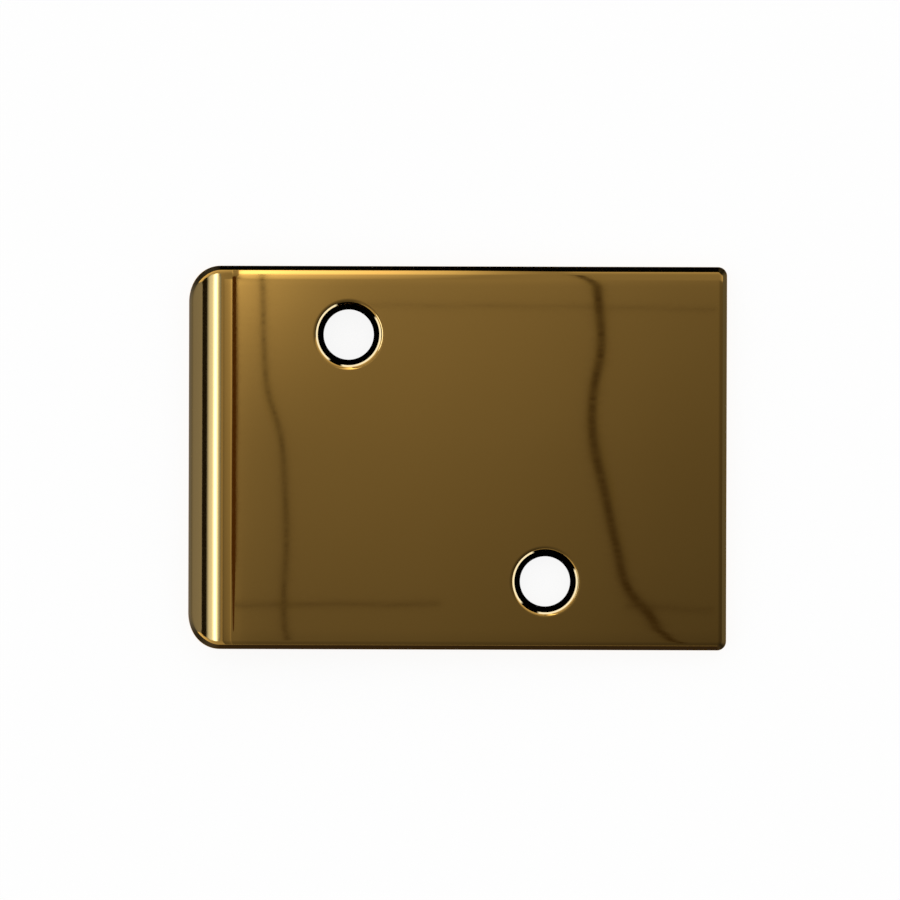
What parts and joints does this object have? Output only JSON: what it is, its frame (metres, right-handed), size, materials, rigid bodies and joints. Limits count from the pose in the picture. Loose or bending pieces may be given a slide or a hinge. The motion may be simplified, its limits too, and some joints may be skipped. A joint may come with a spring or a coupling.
{
  "type": "strike extender plate",
  "caption": "Flat polished brass plate with countersunk screw holes on a diagonal and an end curled down as a lip; it is screwed to a door jamb to carry a strike's lip further out.",
  "frame": {"origin": "on the back of the flat, midway between the two screw holes", "axes": "+Z out of the polished face, +X along the plate from the curled lip to the square end, +Y across the plate"},
  "size_m": [0.0535, 0.0382, 0.0028],
  "materials": {
    "polished_brass": "polished"
  },
  "bodies": {
    "root": {"strike_extender_plate": "polished_brass"}
  },
  "joints": []
}
